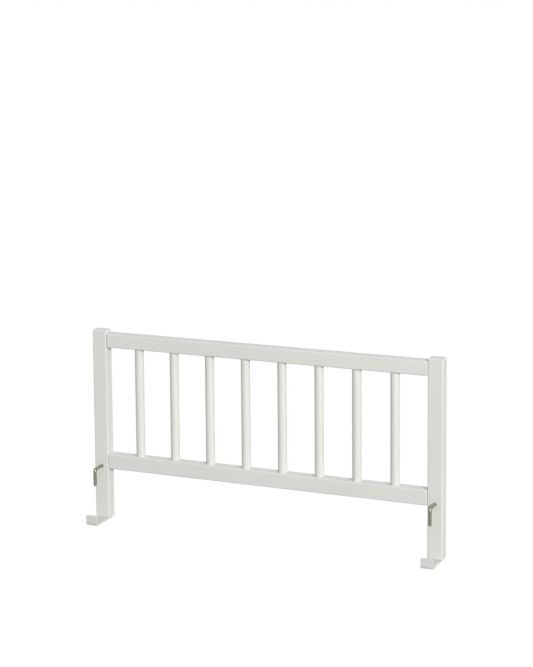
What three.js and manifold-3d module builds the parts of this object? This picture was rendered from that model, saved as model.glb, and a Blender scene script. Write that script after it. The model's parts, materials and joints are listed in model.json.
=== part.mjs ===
// Guard rail of painted wood that hangs on the side board of a child's bed.
// Millimetres, +Z up, X along the rails. The bed is on the -Y side, and the
// origin is under the middle of the space that the guard takes up, on the
// plane that its two steel brackets stand on.
import * as THREE from "three";
import { RoundedBoxGeometry } from "three/addons/geometries/RoundedBoxGeometry.js";
import { mergeVertices } from "three/addons/utils/BufferGeometryUtils.js";
import Module from "manifold-3d";

const wasm = await Module();
wasm.setup();

// Clearances
const glueGap = 0.3;
const turningGap = 0.3;
const cutOverrun = 1;

// Frame of posts and rails
const guardLength = 900;
const postWidth = 37;
const postDepth = 30;
const postHeight = 472.5;
const railDepth = 30;
const upperRailHeight = 34.5;
const upperRailDrop = 7.5;
const lowerRailHeight = 37;
const lowerRailTop = 162.5;
const edgeRound = 3;

// Spindles
const spindleCount = 8;
const spindleDiameter = 21.8;
const spindleSeat = 12;
const spindleEase = 1;

// Wooden dowels that join the rails to the posts
const dowelDiameter = 8;
const dowelLength = 35;
const dowelEase = 1;
const dowelPlay = 1;
const dowelPitch = 17;

// Turning hooks of bent rod, and the threaded inserts behind them that they screw into
const rodDiameter = 8;
const hookHeight = 131;
const hookReach = 35;
const hookDrop = 41.1;
const hookBend = 6;
const hookGrip = 24;
const rodChamfer = 1;
const insertDiameter = 12;
const insertLength = 15;
const insertChamfer = 0.8;
const insertWall = 1.5;

// Bent steel brackets under the posts
const stripWidth = 29;
const stripThickness = 4;
const stripSetBack = 5;
const lipReach = 59;
const lipHeight = 25;
const lipCorner = 4;
const stripCorner = 4;
const stripBend = 2;

// Countersunk screws that hold the brackets
const screwDiameter = 4.5;
const screwLength = 34;
const screwTip = 7;
const headDiameter = 8.4;
const headHeight = 2.4;
const headRim = 0.5;
const headRecess = 0.3;
const screwPitch = 15;

// Facets round one turn
const spindleFacets = 24;
const smallFacets = 16;
const dowelFacets = 12;
const roundSteps = 3;
const bendSteps = 7;

// Places that follow from the sizes
const totalDepth = lipReach + postDepth;
const postFront = totalDepth / 2 - postDepth;
const frameMiddle = postFront + postDepth / 2;
const postBottom = stripThickness + glueGap;
const postMiddle = (guardLength - postWidth) / 2;
const railLength = guardLength - 2 * postWidth - 2 * glueGap;
const lowerTopLevel = postBottom + lowerRailTop;
const upperBottomLevel = postBottom + postHeight - upperRailDrop - upperRailHeight;
const clearSpan = guardLength - 2 * postWidth;
const spindleGap = (clearSpan - spindleCount * spindleDiameter) / (spindleCount + 1);
const spindlePitch = spindleGap + spindleDiameter;
const screwPlace = (postDepth - stripSetBack) / 2;

// A dowel goes into the post as far as the wood beside the insert's hole allows
const dowelSeat = (postWidth - insertDiameter) / 2 - glueGap - insertWall - dowelPlay / 2;
const dowelRises = [dowelPitch / 2, -dowelPitch / 2];

const upperRail = { height: upperRailHeight, bottom: upperBottomLevel };
const lowerRail = { height: lowerRailHeight, bottom: lowerTopLevel - lowerRailHeight };

// Directions
const alongX = new THREE.Vector3(1, 0, 0);
const alongY = new THREE.Vector3(0, 1, 0);
const alongZ = new THREE.Vector3(0, 0, 1);

// Materials
const paint = { color: 0xd9dad5, roughness: 0.42, metalness: 0 };
const bareBeech = { color: 0xd6b183, roughness: 0.7, metalness: 0 };
const brightSteel = { color: 0xa9a69b, roughness: 0.3, metalness: 1 };
const zincSteel = { color: 0xb9bcbd, roughness: 0.35, metalness: 1 };

/** A closed geometry as a solid that can be joined and cut. */
function solid(geometry) {
  const bare = geometry.clone();
  bare.deleteAttribute("normal");
  bare.deleteAttribute("uv");
  const merged = mergeVertices(bare);
  const corners = merged.index.array;
  const kept = [];
  for (let i = 0; i < corners.length; i += 3) {
    const [a, b, c] = [corners[i], corners[i + 1], corners[i + 2]];
    if (a !== b && b !== c && c !== a) kept.push(a, b, c);
  }
  const vertProperties = new Float32Array(merged.attributes.position.array);
  const triVerts = new Uint32Array(kept);
  return new wasm.Manifold(new wasm.Mesh({ numProp: 3, vertProperties, triVerts }));
}

/** A solid back as a geometry, with flat facets. */
function geometryOf(body) {
  const { vertProperties, triVerts } = body.getMesh();
  const geometry = new THREE.BufferGeometry();
  geometry.setAttribute("position", new THREE.BufferAttribute(vertProperties, 3));
  geometry.setIndex(new THREE.BufferAttribute(triVerts, 1));
  const facets = geometry.toNonIndexed();
  facets.computeVertexNormals();
  return facets;
}

/** A bar with every edge eased, its middle at the origin. */
function easedBar(width, depth, height) {
  return new RoundedBoxGeometry(width, depth, height, roundSteps, edgeRound);
}

/** A shape turned about +Z. Its profile gives radius and height, lowest point first. */
function turned(profile, facets) {
  const points = profile.map(([radius, height]) => new THREE.Vector2(radius, height));
  return new THREE.LatheGeometry(points, facets).rotateX(Math.PI / 2);
}

/** The cutter of a round hole that starts at the origin and goes along a direction. */
function bore(diameter, depth, direction, facets = smallFacets) {
  const radius = diameter / 2;
  const profile = [[0, -cutOverrun], [radius, -cutOverrun], [radius, depth], [0, depth]];
  return aimed(turned(profile, facets), direction);
}

/** A geometry made along +Z, turned to another direction. */
function aimed(geometry, direction) {
  return geometry.applyQuaternion(new THREE.Quaternion().setFromUnitVectors(alongZ, direction));
}

/** A round peg with eased ends, its middle at the origin, along +Z. */
function peg(diameter, length, ease, facets) {
  const radius = diameter / 2;
  const half = length / 2;
  return turned([
    [0, -half], [radius - ease, -half], [radius, -half + ease],
    [radius, half - ease], [radius - ease, half], [0, half],
  ], facets);
}

/** Takes cutters away from a geometry. */
function cut(geometry, cutters) {
  let body = solid(geometry);
  for (const cutter of cutters) body = body.subtract(solid(cutter));
  return geometryOf(body);
}

/** A post. Inward is +1 where the rails leave it to the right and -1 to the left. */
function makePost(inward) {
  const bar = easedBar(postWidth, postDepth, postHeight).translate(0, 0, postHeight / 2);
  const front = -postDepth / 2;
  const rodHole = bore(rodDiameter + 2 * turningGap, postDepth + cutOverrun, alongY);
  const insertHole = bore(insertDiameter + 2 * glueGap, insertLength + glueGap, alongY.clone().negate());
  const cutters = [
    rodHole.translate(0, front, hookHeight),
    insertHole.translate(0, -front, hookHeight),
  ];
  for (const rail of [upperRail, lowerRail]) {
    for (const rise of dowelRises) {
      const hole = dowelHole(dowelSeat, alongX.clone().multiplyScalar(-inward));
      const level = rail.bottom + rail.height / 2 + rise - postBottom;
      cutters.push(hole.translate(inward * postWidth / 2, 0, level));
    }
  }
  for (const across of [-screwPitch / 2, screwPitch / 2]) {
    const hole = bore(screwDiameter + 2 * glueGap, screwLength, alongZ);
    cutters.push(hole.translate(across, front + screwPlace, 0));
  }
  return cut(bar, cutters);
}

/** The hole for one end of a dowel, with room for glue beyond it. */
function dowelHole(seat, direction) {
  return bore(dowelDiameter + 2 * glueGap, seat + dowelPlay / 2, direction, dowelFacets);
}

/** A rail with its blind holes for the spindles. Facing is +1 where they open upward. */
function makeRail(rail, facing) {
  const bar = easedBar(railLength, railDepth, rail.height);
  const cutters = [];
  for (let i = 0; i < spindleCount; i += 1) {
    const inward = alongZ.clone().multiplyScalar(-facing);
    const hole = bore(spindleDiameter + 2 * glueGap, spindleSeat + glueGap, inward, spindleFacets);
    cutters.push(hole.translate(spindlePlace(i), 0, facing * rail.height / 2));
  }
  for (const end of [-1, 1]) {
    for (const rise of dowelRises) {
      const hole = dowelHole(dowelLength - dowelSeat, alongX.clone().multiplyScalar(-end));
      cutters.push(hole.translate(end * railLength / 2, 0, rise));
    }
  }
  return cut(bar, cutters);
}

/** The place of a spindle along the rails, from the middle. */
function spindlePlace(index) {
  return (index - (spindleCount - 1) / 2) * spindlePitch;
}

/** A plain round spindle whose ends sit in both rails. */
function makeSpindle() {
  const length = upperBottomLevel - lowerTopLevel + 2 * spindleSeat;
  return geometryOf(solid(peg(spindleDiameter, length, spindleEase, spindleFacets)));
}

/** A dowel along X. */
function makeDowel() {
  return geometryOf(solid(aimed(peg(dowelDiameter, dowelLength, dowelEase, dowelFacets), alongX)));
}

/** The middle line of a hook: out of the post, a quarter bend, and down. */
class HookLine extends THREE.Curve {
  getPoint(t) {
    const step = t * (bendSteps + 2);
    const bendStart = -hookReach + hookBend;
    if (step <= 1) {
      return new THREE.Vector3(0, THREE.MathUtils.lerp(hookGrip, bendStart, step), 0);
    }
    if (step >= bendSteps + 1) {
      const drop = THREE.MathUtils.lerp(hookBend, hookDrop, step - bendSteps - 1);
      return new THREE.Vector3(0, -hookReach, -drop);
    }
    const angle = this.bendAngle(step);
    return new THREE.Vector3(
      0,
      bendStart - hookBend * Math.sin(angle),
      hookBend * (Math.cos(angle) - 1),
    );
  }

  bendAngle(step) {
    return THREE.MathUtils.clamp((step - 1) / bendSteps, 0, 1) * Math.PI / 2;
  }

  getPointAt(share) {
    return this.getPoint(share);
  }

  getTangentAt(share) {
    const angle = this.bendAngle(share * (bendSteps + 2));
    return new THREE.Vector3(0, -Math.cos(angle), -Math.sin(angle));
  }
}

/** The ring that cuts a chamfer round the end of a rod along +Z that ends at the origin. */
function chamferRing() {
  const radius = rodDiameter / 2;
  const inner = radius - rodChamfer;
  return turned([
    [inner, 0], [radius + cutOverrun, -rodChamfer - cutOverrun],
    [radius + cutOverrun, cutOverrun], [inner, cutOverrun], [inner, 0],
  ], smallFacets);
}

/** A hook. Its origin is where the rod's middle line leaves the post's front. */
function makeHook() {
  const section = new THREE.Shape();
  section.absarc(0, 0, rodDiameter / 2, 0, 2 * Math.PI);
  const rod = new THREE.ExtrudeGeometry(section, {
    curveSegments: smallFacets / 2,
    steps: bendSteps + 2,
    extrudePath: new HookLine(),
  });
  const shankEnd = aimed(chamferRing(), alongY).translate(0, hookGrip, 0);
  const legEnd = chamferRing().rotateX(Math.PI).translate(0, -hookReach, -hookDrop);
  return cut(rod, [shankEnd, legEnd]);
}

/** A threaded insert, its face at the origin and its body along -Y. */
function makeInsert() {
  const outer = insertDiameter / 2;
  const inner = rodDiameter / 2 + turningGap;
  const sleeve = turned([
    [inner + insertChamfer, 0], [outer - insertChamfer, 0], [outer, insertChamfer],
    [outer, insertLength - insertChamfer], [outer - insertChamfer, insertLength],
    [inner, insertLength], [inner, insertChamfer], [inner + insertChamfer, 0],
  ], smallFacets);
  return geometryOf(solid(aimed(sleeve, alongY.clone().negate())));
}

/** The side view of a bracket: under the post, forward, and up into the lip. */
function stripProfile() {
  const outerBend = stripBend + stripThickness;
  const profile = new THREE.Shape();
  profile.moveTo(postDepth - stripSetBack, 0);
  profile.lineTo(postDepth - stripSetBack, stripThickness);
  profile.lineTo(-lipReach + outerBend, stripThickness);
  profile.absarc(-lipReach + outerBend, outerBend, stripBend, -Math.PI / 2, -Math.PI, true);
  profile.lineTo(-lipReach + stripThickness, lipHeight);
  profile.lineTo(-lipReach, lipHeight);
  profile.lineTo(-lipReach, outerBend);
  profile.absarc(-lipReach + outerBend, outerBend, outerBend, -Math.PI, -Math.PI / 2, false);
  profile.closePath();
  return profile;
}

/** A rectangle on the line y = 0 whose two far corners are round. */
function roundTopped(width, height, corner) {
  const half = width / 2;
  const outline = new THREE.Shape();
  outline.moveTo(-half, 0);
  outline.lineTo(half, 0);
  outline.lineTo(half, height - corner);
  outline.absarc(half - corner, height - corner, corner, 0, Math.PI / 2, false);
  outline.lineTo(-half + corner, height);
  outline.absarc(-half + corner, height - corner, corner, Math.PI / 2, Math.PI, false);
  outline.closePath();
  return outline;
}

/** The cutter of a countersunk hole through the strip, from below. */
function countersink() {
  const shank = screwDiameter / 2 + glueGap;
  const head = headDiameter / 2 + glueGap;
  return turned([
    [0, -cutOverrun], [head, -cutOverrun], [head, headRecess + headRim],
    [shank, headRecess + headHeight], [shank, stripThickness + cutOverrun],
    [0, stripThickness + cutOverrun],
  ], smallFacets);
}

/** A bracket. Its origin is under the middle of the post's front face. */
function makeBracket() {
  const bars = { bevelEnabled: false, curveSegments: bendSteps };
  const strip = new THREE.ExtrudeGeometry(stripProfile(), { ...bars, depth: stripWidth })
    .applyMatrix4(new THREE.Matrix4().makeBasis(alongY, alongZ, alongX))
    .translate(-stripWidth / 2, 0, 0);
  const backEdge = postDepth - stripSetBack;
  const reach = lipReach + backEdge;
  const frontView = new THREE.ExtrudeGeometry(
    roundTopped(stripWidth, lipHeight + cutOverrun, lipCorner),
    { ...bars, depth: reach + 2 * cutOverrun },
  )
    .applyMatrix4(new THREE.Matrix4().makeBasis(alongX, alongZ, alongY.clone().negate()))
    .translate(0, backEdge + cutOverrun, -cutOverrun);
  const plan = new THREE.ExtrudeGeometry(
    roundTopped(stripWidth, reach + cutOverrun, stripCorner),
    { ...bars, depth: lipHeight + 2 * cutOverrun },
  ).translate(0, -lipReach - cutOverrun, -cutOverrun);
  let body = solid(strip).intersect(solid(frontView)).intersect(solid(plan));
  for (const across of [-screwPitch / 2, screwPitch / 2]) {
    body = body.subtract(solid(countersink().translate(across, screwPlace, 0)));
  }
  return geometryOf(body);
}

/** A countersunk screw along +Z, its head's face at the origin. */
function makeScrew() {
  const shank = screwDiameter / 2;
  const head = headDiameter / 2;
  return geometryOf(solid(turned([
    [0, 0], [head, 0], [head, headRim], [shank, headHeight],
    [shank, screwLength - screwTip], [0, screwLength],
  ], smallFacets)));
}

/** A named mesh with a material of its own. */
function piece(name, geometry, look, x, y, z) {
  const mesh = new THREE.Mesh(geometry, new THREE.MeshStandardMaterial(look));
  mesh.name = name;
  mesh.position.set(x, y, z);
  return mesh;
}

/** One end of the guard: post, hook with its insert, bracket and screws. */
function makeEnd(side, sign) {
  const end = new THREE.Group();
  end.position.set(sign * postMiddle, 0, 0);
  const hookLevel = postBottom + hookHeight;
  end.add(
    piece(`${side}_post`, makePost(-sign), paint, 0, frameMiddle, postBottom),
    piece(`${side}_hook_insert`, makeInsert(), zincSteel, 0, postFront + postDepth, hookLevel),
    piece(`${side}_hook`, makeHook(), brightSteel, 0, postFront, hookLevel),
    piece(`${side}_bracket`, makeBracket(), paint, 0, postFront, 0),
  );
  for (const [word, across] of [["outer", sign], ["inner", -sign]]) {
    const screwX = across * screwPitch / 2;
    const name = `${side}_bracket_screw_${word}`;
    end.add(piece(name, makeScrew(), zincSteel, screwX, postFront + screwPlace, headRecess));
  }
  return end;
}

/** The rails, the spindles between them and the dowels in their ends. */
function makeMiddle() {
  const middle = new THREE.Group();
  middle.position.set(0, frameMiddle, 0);
  const rails = [["upper", upperRail, -1], ["lower", lowerRail, 1]];
  for (const [word, rail, facing] of rails) {
    const railLevel = rail.bottom + rail.height / 2;
    middle.add(piece(`${word}_rail`, makeRail(rail, facing), paint, 0, 0, railLevel));
    for (const [side, sign] of [["left", -1], ["right", 1]]) {
      dowelRises.forEach((rise, i) => {
        const name = `${word}_${side}_dowel_${i + 1}`;
        const dowelX = sign * (clearSpan / 2 + dowelSeat - dowelLength / 2);
        middle.add(piece(name, makeDowel(), bareBeech, dowelX, 0, railLevel + rise));
      });
    }
  }
  const spindleLevel = (upperBottomLevel + lowerTopLevel) / 2;
  for (let i = 0; i < spindleCount; i += 1) {
    middle.add(piece(`spindle_${i + 1}`, makeSpindle(), paint, spindlePlace(i), 0, spindleLevel));
  }
  return middle;
}

const guard = new THREE.Group();
guard.add(makeEnd("left", -1), makeMiddle(), makeEnd("right", 1));

export default guard;
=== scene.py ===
"""Guard rail for the side of a child's bed: the looks of its pieces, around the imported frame.

Metres, +Z up, X along the rails, the bed on the -Y side. Every piece takes its place and its
main sizes from the node of the frame that it stands for.
"""

import json
import math

import bmesh
import bpy
from bpy.props import FloatProperty, FloatVectorProperty, IntProperty, PointerProperty
from bpy.types import Operator, Panel, PropertyGroup
from mathutils import Matrix, Vector


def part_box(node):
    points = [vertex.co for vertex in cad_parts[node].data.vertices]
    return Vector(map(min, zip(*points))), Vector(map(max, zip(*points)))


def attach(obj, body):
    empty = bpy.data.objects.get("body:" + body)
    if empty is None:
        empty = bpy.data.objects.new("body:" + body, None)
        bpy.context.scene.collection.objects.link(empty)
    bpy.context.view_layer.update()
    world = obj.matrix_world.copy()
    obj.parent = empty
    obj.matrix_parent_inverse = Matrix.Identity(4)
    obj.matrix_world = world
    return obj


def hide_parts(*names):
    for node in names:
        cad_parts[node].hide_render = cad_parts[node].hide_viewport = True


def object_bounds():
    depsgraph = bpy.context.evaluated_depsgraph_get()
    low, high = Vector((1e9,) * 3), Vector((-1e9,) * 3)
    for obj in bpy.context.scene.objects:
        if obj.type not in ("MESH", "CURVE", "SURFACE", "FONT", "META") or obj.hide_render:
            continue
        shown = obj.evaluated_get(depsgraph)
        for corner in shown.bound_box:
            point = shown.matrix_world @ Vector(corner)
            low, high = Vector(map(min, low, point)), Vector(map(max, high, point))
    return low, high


bl_info = {
    "name": "Bed Guard Rail",
    "version": (1, 0, 0),
    "blender": (4, 5, 0),
    "location": "3D View > Sidebar > Bed Guard",
    "description": "Painted wood, bent rod hooks and coated steel brackets of a child's bed guard",
    "category": "Object",
}

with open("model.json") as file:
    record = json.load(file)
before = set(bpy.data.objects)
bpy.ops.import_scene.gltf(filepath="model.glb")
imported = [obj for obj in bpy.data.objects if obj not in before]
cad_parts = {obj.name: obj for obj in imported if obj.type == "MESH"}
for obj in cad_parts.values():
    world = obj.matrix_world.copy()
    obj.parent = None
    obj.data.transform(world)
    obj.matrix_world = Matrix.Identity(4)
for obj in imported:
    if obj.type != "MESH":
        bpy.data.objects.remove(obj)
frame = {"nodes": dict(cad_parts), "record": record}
cad_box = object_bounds()


def nodes_with(word):
    """The nodes of the frame whose names hold a word, in the order of their names."""
    return sorted(name for name in frame["nodes"] if word in name)


SIDES = ("left", "right")
RAILS = ("upper", "lower")
SPINDLES = nodes_with("spindle_")
DOWELS = nodes_with("_dowel_")
SCREWS = nodes_with("_bracket_screw_")
INSERTS = nodes_with("_hook_insert")

MM = 0.001
RIGHT = Vector((1, 0, 0))
BACK = Vector((0, 1, 0))
UP = Vector((0, 0, 1))
ORIGIN = (0.0, 0.0, 0.0)
WHITE = (1.0, 1.0, 1.0, 1.0)
PHOTO_WIDTH = 533
PHOTO_HEIGHT = 667

# Facets round holes and round bodies
HOLE_SIDES = 24
SCREW_SIDES = 32
DOWEL_SIDES = 36
ROD_SIDES = 48

# Facets across small roundings and bends, and along a turn of a hook's thread
FOOT_STEPS = 3
STRIP_EASE_STEPS = 4
STRIP_CORNER_STEPS = 8
STRIP_BEND_STEPS = 12
HOOK_BEND_STEPS = 20
THREAD_STEPS = 10

# Turns of a hook's thread, and the angle past which faces meet in a sharp edge
THREAD_TURNS = 12
SHARP_ANGLE = math.radians(32)

# Clearances, how far a cutter starts outside what it cuts, and how far the floor lies below
HEAD_PLAY = 0.2 * MM
SHANK_PLAY = 0.3 * MM
BORE_PLAY = 0.4 * MM
OVERCUT = 1 * MM
FLOOR_GAP = 0.02 * MM


# Settings

class GuardWoodSettings(PropertyGroup):
    """Sizes and colours of the painted wood."""

    edge_round: FloatProperty(
        name="Edge Round", description="Radius of every eased edge of posts and rails",
        default=3 * MM, min=0.5 * MM, max=8 * MM, subtype="DISTANCE", unit="LENGTH")
    foot_ease: FloatProperty(
        name="Foot Ease", description="Radius of the edges round a post's lower end",
        default=1 * MM, min=0.2 * MM, max=5 * MM, subtype="DISTANCE", unit="LENGTH")
    edge_steps: IntProperty(
        name="Edge Steps", description="Facets across an eased edge", default=8, min=2, max=16)
    joint_play: FloatProperty(
        name="Joint Play", description="Gap left round a glued spindle or dowel",
        default=0.1 * MM, min=0.02 * MM, max=1 * MM, subtype="DISTANCE", unit="LENGTH")
    rod_play: FloatProperty(
        name="Rod Play", description="Gap round a hook's rod where it enters the post",
        default=0.25 * MM, min=0.05 * MM, max=1 * MM, subtype="DISTANCE", unit="LENGTH")
    bead: FloatProperty(
        name="Paint Bead", description="Radius of the paint that gathers where a spindle meets a rail",
        default=0.35 * MM, min=0.1 * MM, max=1 * MM, subtype="DISTANCE", unit="LENGTH")
    spindle_ease: FloatProperty(
        name="Spindle Ease", description="Chamfer at both ends of a spindle",
        default=1 * MM, min=0.1 * MM, max=3 * MM, subtype="DISTANCE", unit="LENGTH")
    spindle_sides: IntProperty(
        name="Spindle Sides", description="Facets round a spindle", default=64, min=16, max=128)
    flute_share: FloatProperty(
        name="Flute Share", description="Depth of a dowel's flutes as a share of its radius",
        default=0.06, min=0.0, max=0.2)
    paint_colour: FloatVectorProperty(
        name="Paint Colour", description="Off-white satin paint", subtype="COLOR",
        default=(0.72, 0.725, 0.685), min=0.0, max=1.0)
    bare_colour: FloatVectorProperty(
        name="Bare Wood Colour", description="Bare beech of the dowels", subtype="COLOR",
        default=(0.60, 0.42, 0.24), min=0.0, max=1.0)


class GuardSteelSettings(PropertyGroup):
    """Sizes and colours of hooks, inserts, brackets and screws."""

    hook_bend: FloatProperty(
        name="Hook Bend", description="Radius of the rod's middle line in its bend",
        default=6 * MM, min=4 * MM, max=14 * MM, subtype="DISTANCE", unit="LENGTH")
    rod_chamfer: FloatProperty(
        name="Rod Chamfer", description="Chamfer at both ends of a hook's rod",
        default=1 * MM, min=0.2 * MM, max=2 * MM, subtype="DISTANCE", unit="LENGTH")
    thread_pitch: FloatProperty(
        name="Thread Pitch", description="Pitch of the thread on a hook's shank",
        default=1.25 * MM, min=0.5 * MM, max=2 * MM, subtype="DISTANCE", unit="LENGTH")
    thread_depth: FloatProperty(
        name="Thread Depth", description="Depth of the thread on a hook's shank",
        default=0.7 * MM, min=0.1 * MM, max=1 * MM, subtype="DISTANCE", unit="LENGTH")
    strip_thickness: FloatProperty(
        name="Strip Thickness", description="Thickness of the brackets' flat steel",
        default=4 * MM, min=2 * MM, max=6 * MM, subtype="DISTANCE", unit="LENGTH")
    strip_bend: FloatProperty(
        name="Strip Bend", description="Inner radius of the bend between strip and lip",
        default=2 * MM, min=1 * MM, max=8 * MM, subtype="DISTANCE", unit="LENGTH")
    strip_corner: FloatProperty(
        name="Strip Corner", description="Radius of the corners of lip and strip",
        default=4 * MM, min=1 * MM, max=10 * MM, subtype="DISTANCE", unit="LENGTH")
    strip_ease: FloatProperty(
        name="Strip Ease", description="Rounding of the strip's edges under its coat",
        default=0.7 * MM, min=0.1 * MM, max=1.5 * MM, subtype="DISTANCE", unit="LENGTH")
    head_rim: FloatProperty(
        name="Head Rim", description="Straight rim of a screw's head",
        default=0.5 * MM, min=0.1 * MM, max=1 * MM, subtype="DISTANCE", unit="LENGTH")
    head_height: FloatProperty(
        name="Head Height", description="Height of a screw's countersunk head",
        default=2.4 * MM, min=1 * MM, max=4 * MM, subtype="DISTANCE", unit="LENGTH")
    screw_diameter: FloatProperty(
        name="Screw Diameter", description="Outer diameter of a screw's thread",
        default=4.5 * MM, min=2 * MM, max=6 * MM, subtype="DISTANCE", unit="LENGTH")
    coat_colour: FloatVectorProperty(
        name="Coat Colour", description="Off-white powder coat", subtype="COLOR",
        default=(0.675, 0.682, 0.646), min=0.0, max=1.0)
    rod_colour: FloatVectorProperty(
        name="Rod Colour", description="Nickel plate of the hooks", subtype="COLOR",
        default=(0.42, 0.405, 0.335), min=0.0, max=1.0)
    zinc_colour: FloatVectorProperty(
        name="Zinc Colour", description="Zinc plate of inserts and screws", subtype="COLOR",
        default=(0.50, 0.53, 0.54), min=0.0, max=1.0)


class GuardStageSettings(PropertyGroup):
    """Camera, lights and floor."""

    camera_place: FloatVectorProperty(
        name="Camera Place", description="Where the camera stands", subtype="TRANSLATION",
        default=(1.76701, -4.05804, 1.4591))
    camera_azimuth: FloatProperty(
        name="Azimuth", description="Turn of the view from +Y towards -X", subtype="ANGLE",
        default=math.radians(23.245))
    camera_pitch: FloatProperty(
        name="Pitch", description="How far the view looks down", subtype="ANGLE",
        default=math.radians(7.597))
    camera_roll: FloatProperty(
        name="Roll", description="Roll of the camera", subtype="ANGLE",
        default=math.radians(-0.455))
    focal_pixels: FloatProperty(
        name="Focal Length", description="Focal length in pixels of the photo",
        default=1920.47, min=500, max=5000)
    centre_pixels: FloatVectorProperty(
        name="Picture Centre", description="Pixel of the photo that the lens points at",
        size=2, default=(266.5, 180.0))
    key_azimuth: FloatProperty(
        name="Key Azimuth", description="Turn of the key lamp from the front to the right",
        subtype="ANGLE", default=math.radians(46.5))
    key_elevation: FloatProperty(
        name="Key Elevation", description="Height of the key lamp above the level",
        subtype="ANGLE", default=math.radians(21.8))
    key_width: FloatProperty(
        name="Key Width", description="Side of the key lamp, which sets how soft its shadows are",
        default=0.35, min=0.05, unit="LENGTH")
    key_power: FloatProperty(
        name="Key Power", description="Power of the key lamp, in front at the right",
        default=1740.0, min=0.0, unit="POWER")
    rear_azimuth: FloatProperty(
        name="Rear Azimuth", description="Turn of the rear lamp from the front to the right",
        subtype="ANGLE", default=math.radians(203.0))
    rear_elevation: FloatProperty(
        name="Rear Elevation", description="Height of the rear lamp above the level",
        subtype="ANGLE", default=math.radians(2.5))
    rear_width: FloatProperty(
        name="Rear Width", description="Side of the rear lamp", default=1.2, min=0.05,
        unit="LENGTH")
    rear_power: FloatProperty(
        name="Rear Power", description="Power of the rear lamp, on the back of the guard",
        default=750.0, min=0.0, unit="POWER")
    lamp_distance: FloatProperty(
        name="Lamp Distance", description="How far both lamps stand from the guard",
        default=16.0, min=1.0, unit="LENGTH")
    room_light: FloatProperty(
        name="Room Light", description="Strength of the even light from all sides",
        default=0.41, min=0.0, max=4.0)
    room_right: FloatProperty(
        name="Light from the Right", description="Strength that the room's light gains to the right",
        default=0.16, min=0.0, max=4.0)
    room_top: FloatProperty(
        name="Light from Above", description="Strength that the room's light gains upwards",
        default=0.23, min=0.0, max=4.0)
    room_back: FloatProperty(
        name="Light from Behind", description="Strength that the room's light gains to the back",
        default=0.22, min=0.0, max=4.0)
    floor_colour: FloatVectorProperty(
        name="Floor Colour", description="Plain grey floor", subtype="COLOR",
        default=(0.48, 0.48, 0.48), min=0.0, max=1.0)
    contact_shade: FloatProperty(
        name="Contact Shade", description="Share of light that the floor loses right under a foot",
        default=0.05, min=0.0, max=1.0)


# Node trees

SOCKET_TYPES = {
    float: "NodeSocketFloat",
    int: "NodeSocketInt",
    tuple: "NodeSocketVector",
    type(None): "NodeSocketGeometry",
}


def fill(tree, socket, value):
    """Links an input to a socket, or gives it a plain value."""
    if isinstance(value, bpy.types.NodeSocket):
        tree.links.new(value, socket)
    else:
        socket.default_value = value


def place(tree, kind, inputs=None, **settings):
    """Adds a node, sets its properties, then fills its inputs by name or number."""
    node = tree.nodes.new(kind)
    for name, value in settings.items():
        setattr(node, name, value)
    for name, value in (inputs or {}).items():
        fill(tree, node.inputs[name], value)
    return node


def reckon(tree, operation, *values):
    """The result of a sum on numbers or sockets."""
    kind = "ShaderNodeMath"
    return place(tree, kind, dict(enumerate(values)), operation=operation).outputs[0]


def times(tree, value, factor):
    """A value made larger or smaller by a factor."""
    return reckon(tree, "MULTIPLY", value, factor)


def combined(tree, **parts):
    """A vector from numbers or sockets for its X, Y and Z."""
    return place(tree, "ShaderNodeCombineXYZ", parts).outputs[0]


def noise(tree, vector, scale, detail, roughness, distortion=0.0):
    """The value of a noise texture."""
    return place(tree, "ShaderNodeTexNoise", {
        "Vector": vector, "Scale": scale, "Detail": detail, "Roughness": roughness,
        "Distortion": distortion}).outputs[0]


def new_group(name, kind, inputs, outputs):
    """A node group from the defaults of its named inputs, where None is a geometry.

    Returns the tree and the sockets of its input. Its outputs are geometries in a geometry tree
    and numbers in a shader tree.
    """
    tree = bpy.data.node_groups.new(name, kind)
    for label, default in inputs.items():
        socket = tree.interface.new_socket(
            label, in_out="INPUT", socket_type=SOCKET_TYPES[type(default)])
        if default is not None:
            socket.default_value = default
    output_type = "NodeSocketGeometry" if kind == "GeometryNodeTree" else "NodeSocketFloat"
    for label in outputs:
        tree.interface.new_socket(label, in_out="OUTPUT", socket_type=output_type)
    return tree, tree.nodes.new("NodeGroupInput").outputs


def ended(tree, results):
    """Links a group's results to its outputs by their names. Returns the group."""
    place(tree, "NodeGroupOutput", results)
    return tree


def use_group(tree, maker, inputs):
    """Places a node group, which its maker builds the first time. Returns its outputs."""
    group = bpy.data.node_groups.get(maker.__name__.removesuffix("_group")) or maker()
    kind = "GeometryNodeGroup" if group.bl_idname == "GeometryNodeTree" else "ShaderNodeGroup"
    return place(tree, kind, inputs, node_tree=group).outputs


# Shader groups

def paint_film_group():
    """The surface of sprayed paint: fine peel, slow drift of tone, and spots of other gloss."""
    tree, given = new_group("paint_film", "ShaderNodeTree", {
        "Vector": ORIGIN, "Peel Scale": 500.0, "Drift Scale": 7.0}, ["Height", "Tone", "Gloss"])
    here, peel, drift = given["Vector"], given["Peel Scale"], given["Drift Scale"]
    return ended(tree, {
        "Height": noise(tree, here, peel, detail=1.5, roughness=0.4),
        "Tone": noise(tree, here, drift, detail=3.0, roughness=0.5),
        "Gloss": noise(tree, here, times(tree, drift, 6.0), detail=4.0, roughness=0.6)})


def drawn_out(tree, given):
    """The place on a piece, drawn out along one direction, which turns noise into lines."""
    return place(tree, "ShaderNodeVectorMath", {0: given["Vector"], 1: given["Draw Out"]},
                 operation="MULTIPLY").outputs[0]


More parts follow.
